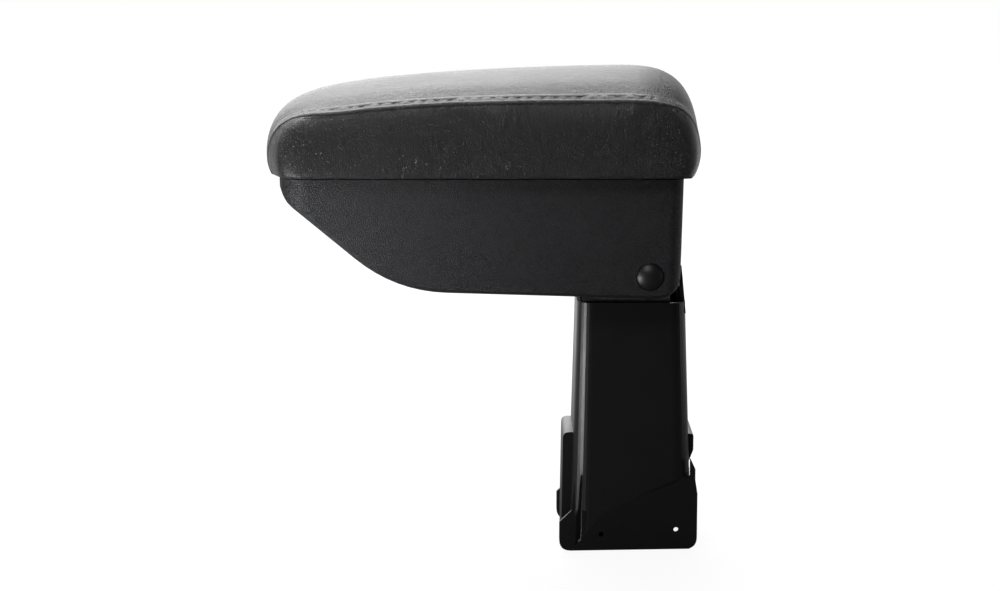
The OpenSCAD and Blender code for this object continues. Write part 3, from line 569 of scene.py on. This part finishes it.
# %% Foam pad
foam_voxel, foam_fill = 2.6 * MM, 0.9
pressed_all_over, pressed_at_seam, seam_width = 0.6 * MM, 2.4 * MM, 11 * MM
foam = copied(["lid_foam"], "foam_pad")
apply_modifier(foam, "REMESH", mode="VOXEL", voxel_size=foam_voxel, use_smooth_shade=True)
apply_modifier(foam, "SMOOTH", factor=0.5, iterations=3)
seam_tree = KDTree(2 * columns)
for i, place in enumerate(np.concatenate([seam_row, seam_row * np.array([1, -1, 1])])):
    seam_tree.insert(place, i)
seam_tree.balance()
outwards = [vertex.normal.copy() for vertex in foam.data.vertices]
for vertex, normal in zip(foam.data.vertices, outwards):
    near = max(0, 1 - seam_tree.find(vertex.co)[2] / seam_width)
    vertex.co -= normal * (pressed_all_over + pressed_at_seam * near ** 1.5)
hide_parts("lid_foam")
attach(foam, "lid")
print("foam:", len(foam.data.polygons), "faces")

# %% [markdown]
# ## The felt mat
# The mat on the box floor keeps coins from rattling. It is cut from needled felt 1.6 mm
# thick, so its edges are soft but square, and a bevel of half a millimetre is enough. It
# lies on the sloping floor, so the length that it was cut to follows the slope. The part
# of its height that isn't slope is its own thickness.

# %% Felt mat
felt_edge, slope_share = 0.5 * MM, 0.6
mat = copied(["box_mat"], "felt_mat")
apply_modifier(mat, "BEVEL", width=felt_edge, segments=2, limit_method="ANGLE")
bpy.ops.object.select_all(action="DESELECT")
mat.select_set(True)
bpy.context.view_layer.objects.active = mat
bpy.ops.object.shade_smooth_by_angle(angle=math.radians(40))
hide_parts("box_mat")
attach(mat, "armrest")
bpy.data.objects.remove(form)

# %% [markdown]
# ## Colours and nodes
# A designer writes a colour as a hex number, as it looks on a screen. The shader wants it
# linear, so one function turns it. One more adds a node with its settings and its links,
# and every material below is built with these two.

# %% Helpers for materials
def linear(hex_colour):
    """A colour written as rrggbb, turned to linear light, with an alpha of 1."""
    parts = [int(hex_colour[i:i + 2], 16) / 255 for i in (0, 2, 4)]
    return [p / 12.92 if p <= 0.04045 else ((p + 0.055) / 1.055) ** 2.4 for p in parts] + [1]


def add(material, kind, links=(), **settings):
    """Adds a node, sets its inputs and properties, and links other sockets to its inputs."""
    node = material.node_tree.nodes.new("ShaderNode" + kind)
    for name, value in settings.items():
        if hasattr(node, name):
            setattr(node, name, value)
        else:
            node.inputs[name.replace("_", " ")].default_value = value
    for name, socket in dict(links).items():
        material.node_tree.links.new(socket, node.inputs[name])
    return node


def finish_named(name, colour, roughness, metallic=0.0, ior=1.5, **sockets):
    """A new material with one Principled shader, and that shader."""
    material = bpy.data.materials.new(name)
    material.use_nodes = True
    shader = material.node_tree.nodes["Principled BSDF"]
    shader.inputs["Base Color"].default_value = linear(colour)
    shader.inputs["Roughness"].default_value = roughness
    shader.inputs["Metallic"].default_value = metallic
    if not metallic:
        shader.inputs["IOR"].default_value = ior
    for socket, value in sockets.items():
        shader.inputs[socket.replace("_", " ")].default_value = value
    return material, shader


def tinted(material, shader, amount, dark, light):
    """Lets a pattern's value choose between two colours."""
    ramp = add(material, "ValToRGB", {"Fac": amount})
    ramp.color_ramp.elements[0].color = linear(dark)
    ramp.color_ramp.elements[1].color = linear(light)
    material.node_tree.links.new(ramp.outputs["Color"], shader.inputs["Base Color"])
    return ramp


def raised(material, shader, height, depth, strength=1.0, under=None):
    """Raises the surface by a pattern's value, over an earlier bump if there is one."""
    links = {"Height": height}
    if under is not None:
        links["Normal"] = under.outputs["Normal"]
    bump = add(material, "Bump", links, Distance=depth, Strength=strength)
    material.node_tree.links.new(bump.outputs["Normal"], shader.inputs["Normal"])
    return bump


def rougher(material, shader, amount, low, high):
    """Lets a pattern's value vary the roughness between two values."""
    spread = add(material, "MapRange", {"Value": amount}, To_Min=low, To_Max=high)
    material.node_tree.links.new(spread.outputs["Result"], shader.inputs["Roughness"])


finishes = {}
print("a dark grey, 232326, as linear light:", [round(c, 4) for c in linear("232326")])

# %% [markdown]
# ## Leatherette
# Leatherette is a knitted cloth with a coat of soft PVC, embossed with a leather grain of
# pebbles about a millimetre across, with fine creases between them. The coat gives it a
# soft gloss at shallow angles, which is what makes the top look so pale in the
# photograph. A second, longer pattern gives the slack that any stretched cloth shows.
# The pebbles are drawn at 1.1 mm, a little coarser than the real ones, so that they show.

# %% Black leatherette
grain_size, crease_share, crease_depth = 1.1 * MM, 0.22, 0.28 * MM
slack_size, slack_depth, patch_size = 3.85 * MM, 1.4 * MM, 35.7 * MM
leather, leather_shader = finish_named("black_leatherette", "232326", 0.42,
                                       Coat_Weight=0.3, Coat_Roughness=0.42)
place = add(leather, "TexCoord").outputs["Object"]
wobble = add(leather, "TexNoise", {"Vector": place}, Scale=0.5 / grain_size, Detail=2)
shaken = add(leather, "VectorMath", {0: wobble.outputs["Color"], 2: place},
             operation="MULTIPLY_ADD")
shaken.inputs[1].default_value = (0.6 * MM,) * 3
pebbles = add(leather, "TexVoronoi", {"Vector": shaken.outputs["Vector"]},
              feature="DISTANCE_TO_EDGE", Scale=1 / grain_size)
creases = add(leather, "MapRange", {"Value": pebbles.outputs["Distance"]},
              From_Max=crease_share)
stretched = add(leather, "Mapping", {"Vector": place}, Scale=(1, 1, 0.3))
slack = add(leather, "TexNoise", {"Vector": stretched.outputs["Vector"]},
            Scale=1 / slack_size, Detail=4)
patches = add(leather, "TexNoise", {"Vector": place}, Scale=1 / patch_size, Detail=3)
lower = raised(leather, leather_shader, slack.outputs["Fac"], slack_depth, 0.7)
raised(leather, leather_shader, creases.outputs["Result"], crease_depth, 0.9, under=lower)
grain_tint = tinted(leather, leather_shader, creases.outputs["Result"], "0b0b0d", "1e1e21")
# Rows deep in the seam's groove and in the stitch row's dip are painted near black here: painted
# shade in the grooves, mixed into the grain's colour.
painted_shade_amount = add(leather, "Attribute", attribute_name="painted_shade").outputs["Fac"]
with_painted_shade = add(leather, "Mix", {0: painted_shade_amount, 6: grain_tint.outputs["Color"]}, data_type="RGBA")
with_painted_shade.inputs[7].default_value = linear("020202")
leather.node_tree.links.new(with_painted_shade.outputs[2], leather_shader.inputs["Base Color"])
rougher(leather, leather_shader, patches.outputs["Fac"], 0.36, 0.5)
finishes["black_leatherette"] = leather
print("leatherette grain:", round(grain_size / MM, 1), "mm")

# %% [markdown]
# ### Painted shade in the seam
# In the depth of the seam the faces take a near black without any gloss. This is painted
# shade for the dark bottom of the groove, dressed as the knitted back of the leatherette:
# a wave bump gives it a loop every two millimetres, coarser than a real knit.

# %% Painted shade for the depth of a seam, with a knit bump
loop_size = 2 * MM
# Near black and without gloss: painted shade for the bottom of the seam's groove
groove_black, groove_black_shader = finish_named("painted_groove_black", "030303", 1.0, Specular_IOR_Level=0.0)
place = add(groove_black, "TexCoord").outputs["Object"]
knit = add(groove_black, "TexWave", {"Vector": place}, Scale=1 / loop_size, Distortion=1.0)
raised(groove_black, groove_black_shader, knit.outputs["Fac"], 0.05 * MM, 0.5)
print("knitted backing: a loop every", loop_size / MM, "mm")

# %% [markdown]
# ## Thread
# The seam is sewn with black polyester thread: twisted and matt, so it stays darker than
# the leatherette around it, which gleams. Slanting waves stand for the twist.

# %% Black thread
twist_size = 1.43 * MM
thread, thread_shader = finish_named("black_thread", "070707", 0.85, Specular_IOR_Level=0.1)
place = add(thread, "TexCoord").outputs["Object"]
twist = add(thread, "TexWave", {"Vector": place}, Scale=1 / twist_size,
            bands_direction="DIAGONAL")
raised(thread, thread_shader, twist.outputs["Fac"], 0.05 * MM, 0.6)
print("thread: a twist every", round(twist_size / MM, 1), "mm")

# %% [markdown]
# ## Grained plastic
# The box is injection moulded in polypropylene: the mould is etched, so the skin is matt
# with a leather-like grain. Faint flow marks vary the gloss over a few centimetres. The
# grain is the leatherette's recipe again, shallower and without the slack, and it is drawn
# at 1.3 mm, a little coarser than the real one, so that it shows.

# %% Grained plastic of the box
box_grain, valley_share, valley_depth = 1.3 * MM, 0.25, 0.15 * MM
flow_size = 45.5 * MM
grained, grained_shader = finish_named("grained_plastic", "202023", 0.5)
place = add(grained, "TexCoord").outputs["Object"]
wobble = add(grained, "TexNoise", {"Vector": place}, Scale=0.6 / box_grain, Detail=2)
shaken = add(grained, "VectorMath", {0: wobble.outputs["Color"], 2: place},
             operation="MULTIPLY_ADD")
shaken.inputs[1].default_value = (0.7 * MM,) * 3
etched = add(grained, "TexVoronoi", {"Vector": shaken.outputs["Vector"]},
             feature="DISTANCE_TO_EDGE", Scale=1 / box_grain)
valleys = add(grained, "MapRange", {"Value": etched.outputs["Distance"]},
              From_Max=valley_share)
flow = add(grained, "TexNoise", {"Vector": place}, Scale=1 / flow_size, Detail=3)
raised(grained, grained_shader, valleys.outputs["Result"], valley_depth, 0.9)
tinted(grained, grained_shader, valleys.outputs["Result"], "0d0d0f", "28282c")
rougher(grained, grained_shader, flow.outputs["Fac"], 0.44, 0.58)
finishes["grained_plastic"] = grained
print("box grain:", round(box_grain / MM, 1), "mm")

# %% [markdown]
# ### Satin plastics
# The pedestal is a smoother, satin moulding of ABS, and so are the caps. The lid's base
# plate is the same, but duller. Their walls sink in a little over the ribs behind them,
# the skin keeps a fine grit from the mould, and rubbed places vary the gloss. They differ
# only in colour and gloss, so one loop makes all three.

# %% Satin plastic of the pedestal, the caps and the base plate
mould_grit, rubbed_size, sink_size = 0.667 * MM, 28.6 * MM, 33.3 * MM
for name, colour, low, high in (("pedestal_plastic", "151517", 0.3, 0.44),
                                ("cap_plastic", "1b1b1d", 0.34, 0.46),
                                ("base_plastic", "202022", 0.5, 0.62)):
    satin, satin_shader = finish_named(name, colour, (low + high) / 2)
    place = add(satin, "TexCoord").outputs["Object"]
    mould = add(satin, "TexNoise", {"Vector": place}, Scale=1 / mould_grit, Detail=2)
    rubbed = add(satin, "TexNoise", {"Vector": place}, Scale=1 / rubbed_size, Detail=4)
    sink = add(satin, "TexNoise", {"Vector": place}, Scale=1 / sink_size, Detail=1)
    lower = raised(satin, satin_shader, sink.outputs["Fac"], 0.6 * MM, 0.4)
    raised(satin, satin_shader, mould.outputs["Fac"], 0.1 * MM, 0.5, under=lower)
    rougher(satin, satin_shader, rubbed.outputs["Fac"], low, high)
    finishes[name] = satin
print("plastics:", [n for n in finishes if "plastic" in n])

# %% [markdown]
# ## Metals
# The leg is folded sheet steel with a bright zinc coat, which shows a faint spangle of
# crystals. Screws, springs and the shaft are bare turned or drawn steel, with fine rings
# or lines from the tool that show only as an uneven gloss.

# %% Zinc-plated and bright steel
spangle_size, tool_line_size = 4 * MM, 1.11 * MM
zinc, zinc_shader = finish_named("zinc_plated_steel", "b4b7ba", 0.36, 1.0)
place = add(zinc, "TexCoord").outputs["Object"]
spangle = add(zinc, "TexVoronoi", {"Vector": place}, Scale=1 / spangle_size)
grey = add(zinc, "SeparateColor", {"Color": spangle.outputs["Color"]})
tinted(zinc, zinc_shader, grey.outputs["Red"], "a9acb0", "bfc1c3")
rougher(zinc, zinc_shader, grey.outputs["Green"], 0.3, 0.42)
finishes["zinc_plated_steel"] = zinc
bright, bright_shader = finish_named("bright_steel", "c4c4c2", 0.24, 1.0)
place = add(bright, "TexCoord").outputs["Object"]
lines = add(bright, "TexNoise", {"Vector": place}, Scale=1 / tool_line_size, Detail=3)
rougher(bright, bright_shader, lines.outputs["Fac"], 0.18, 0.34)
raised(bright, bright_shader, lines.outputs["Fac"], 0.02 * MM, 0.3)
finishes["bright_steel"] = bright
print("metals:", [n for n in finishes if "steel" in n])

# %% [markdown]
# ## Rubber, nylon, fibre, foam and felt
# These sit inside the armrest and show when it is opened or turned over. Each is its plain
# material: matt moulded rubber, milky nylon, pressed brown fibre with flecks, cream foam
# with open pores, and needled grey felt.

# %% Inner materials
inner = {
    # name: dark colour, light colour, roughness, pattern size, depth, sheen
    "black_rubber": ("141414", "1b1b1b", 0.75, 0.8 * MM, 0.03 * MM, 0.1),
    "nylon": ("d6d3c6", "e2dfd4", 0.45, 3 * MM, 0.02 * MM, 0.0),
    "brown_fibre": ("6f5236", "9a7850", 0.8, 0.5 * MM, 0.05 * MM, 0.0),
    "polyurethane_foam": ("c4b98e", "ddd3a9", 0.9, 0.9 * MM, 0.25 * MM, 0.2),
    "felt_mat": ("19191b", "2c2c2f", 0.95, 0.5 * MM, 0.3 * MM, 0.5),
}
for name, (dark, light, roughness, size, depth, sheen) in inner.items():
    soft, soft_shader = finish_named(name, light, roughness, Sheen_Weight=sheen)
    place = add(soft, "TexCoord").outputs["Object"]
    fine = add(soft, "TexNoise", {"Vector": place}, Scale=1 / size, Detail=4)
    tinted(soft, soft_shader, fine.outputs["Fac"], dark, light)
    raised(soft, soft_shader, fine.outputs["Fac"], depth, 0.8)
    finishes[name] = soft
print("inner materials:", list(inner))

# %% [markdown]
# ## Finishes on the parts
# The record names a material slot for each part of the frame, so the finishes are given by
# that name. The panels get two: leatherette, and a matt near black for the faces deep in
# the seam, which is painted shade for the groove.

# %% Give every part its finish
for part in frame["record"]["subparts"]:
    mesh = nodes[part["node"]].data
    mesh.materials.clear()
    mesh.materials.append(finishes[part["material_slot"]])
# Each panel's second slot is the near black that is painted as shade deep in the seams
for panel in (top_panel, *side_pieces.values()):
    panel.data.materials.append(leather)
    panel.data.materials.append(groove_black)
for piece, finish in ((foam, finishes["polyurethane_foam"]), (mat, finishes["felt_mat"]),
                      (bpy.data.objects["stitches_left"], thread),
                      (bpy.data.objects["stitches_right"], thread)):
    piece.data.materials.clear()
    piece.data.materials.append(finish)

# %% [markdown]
# ## Floor and world
# A catalogue picture has a pure white ground that lights nothing. So the floor and the
# world show white only to the camera, through glass and in reflections that look to the
# rear, as the photographer's white wall would. The lamps do the lighting. One helper makes
# that white for both, from the kind of ray and from how far to the rear it looks.

# %% White for the camera and for reflections from behind
def white_seen(holder, place, start, full, dark=0.0):
    """How white the ground shows: 1 to the camera, and to gloss from start to full in Y."""
    rays = add(holder, "LightPath")
    seen = add(holder, "Math", {0: rays.outputs["Is Camera Ray"],
                                1: rays.outputs["Is Transmission Ray"]}, operation="MAXIMUM")
    split = add(holder, "SeparateXYZ", {"Vector": place})
    behind = add(holder, "MapRange", {"Value": split.outputs["Y"]}, From_Min=start,
                 From_Max=full, To_Min=dark)
    glossy = add(holder, "Math", {0: rays.outputs["Is Glossy Ray"], 1: behind.outputs["Result"]},
                 operation="MULTIPLY")
    return add(holder, "Math", {0: seen.outputs["Value"], 1: glossy.outputs["Value"]},
               operation="MAXIMUM")


print("white helper ready")

# %% [markdown]
# ### Floor
# The floor is matt grey paper that glows. Under the armrest the glow stops just short of
# white, so that the soft shadow there still shows, and further out it grows to full white,
# so that no horizon does.

# %% Floor
floor_size, white_at_foot = 8, 0.93
shadow_reach, white_reach = 0.25, 0.7
bpy.ops.mesh.primitive_plane_add(size=floor_size, location=(0, 0, 0))
floor = bpy.context.object
floor.name = "floor"
paper, paper_shader = finish_named("floor_paper", "383838", 0.9)
place = add(paper, "TexCoord").outputs["Object"]
level = white_seen(paper, place, 0.1, 0.8)
away = add(paper, "VectorMath", {0: place}, operation="LENGTH")
white = add(paper, "MapRange", {"Value": away.outputs["Value"]}, From_Min=shadow_reach,
            From_Max=white_reach, To_Min=white_at_foot)
share = add(paper, "Math", {0: level.outputs["Value"], 1: white.outputs["Result"]},
            operation="MULTIPLY")
glow = add(paper, "Emission", {"Strength": share.outputs["Value"]})
both = add(paper, "AddShader", {0: paper_shader.outputs["BSDF"], 1: glow.outputs["Emission"]})
paper.node_tree.links.new(both.outputs["Shader"],
                          paper.node_tree.nodes["Material Output"].inputs["Surface"])
floor.data.materials.append(paper)
print("floor:", floor_size, "m square")

# %% [markdown]
# ### World
# To gloss the world is dark in front and white behind, and to matt surfaces it is a dim
# room, which keeps the shadows from going black.

# %% World
dark_side, room_light = 0.02, 0.15
world = bpy.data.worlds.new("studio")
world.use_nodes = True
bpy.context.scene.world = world
ground = world.node_tree.nodes["Background"]
white = white_seen(world, add(world, "TexCoord").outputs["Generated"], 0.7, 0.92, dark_side)
dim = add(world, "Math", {0: add(world, "LightPath").outputs["Is Diffuse Ray"]},
          operation="MULTIPLY")
dim.inputs[1].default_value = room_light
level = add(world, "Math", {0: white.outputs["Value"], 1: dim.outputs["Value"]},
            operation="MAXIMUM")
world.node_tree.links.new(level.outputs["Value"], ground.inputs["Strength"])
ground.inputs["Color"].default_value = (1, 1, 1, 1)
bpy.context.scene.view_settings.view_transform = "Standard"
print("world: room light", room_light)

# %% [markdown]
# ## Lamps
# A panel behind the armrest and a softbox above its far side make the padded top gleam at
# the camera's shallow angle. On the camera's side there is only a weak key lamp and a small
# box low at the front, so that the near side is dark and darkens further to the rear, as
# in the photograph. A strip to the rear picks out the pedestal's edge.

# %% Lamps
def softbox(name, place, target, width, height, watts):
    """A soft panel lamp that the camera doesn't see."""
    lamp_data = bpy.data.lights.new(name, "AREA")
    lamp_data.shape = "RECTANGLE"
    lamp_data.size = width
    lamp_data.size_y = height
    lamp_data.energy = watts
    lamp = bpy.data.objects.new(name, lamp_data)
    bpy.context.scene.collection.objects.link(lamp)
    lamp.location = place
    direction = Vector(target) - Vector(place)
    lamp.rotation_euler = direction.to_track_quat("-Z", "Y").to_euler()
    lamp.visible_camera = False


# Each lamp: where it stands, what it faces, its width and height, and its watts
softbox("rear_panel", (-0.45, 1.5, 1.1), (-0.15, 0, 0.3), 1.4, 1.8, 13)
softbox("top_softbox", (-0.42, 0.62, 1.5), (-0.15, 0.1, 0.3), 1.4, 1.2, 40)
softbox("key_softbox", (-0.35, -0.9, 1.2), (-0.1, 0, 0.3), 0.5, 0.3, 4.5)
softbox("side_strip", (0.9, 0.0, 0.3), (0, 0, 0.25), 0.3, 0.6, 0.9)
softbox("front_softbox", (-0.4, -0.24, 0.04), (-0.2, -0.05, 0.2), 0.12, 0.2, 1.9)
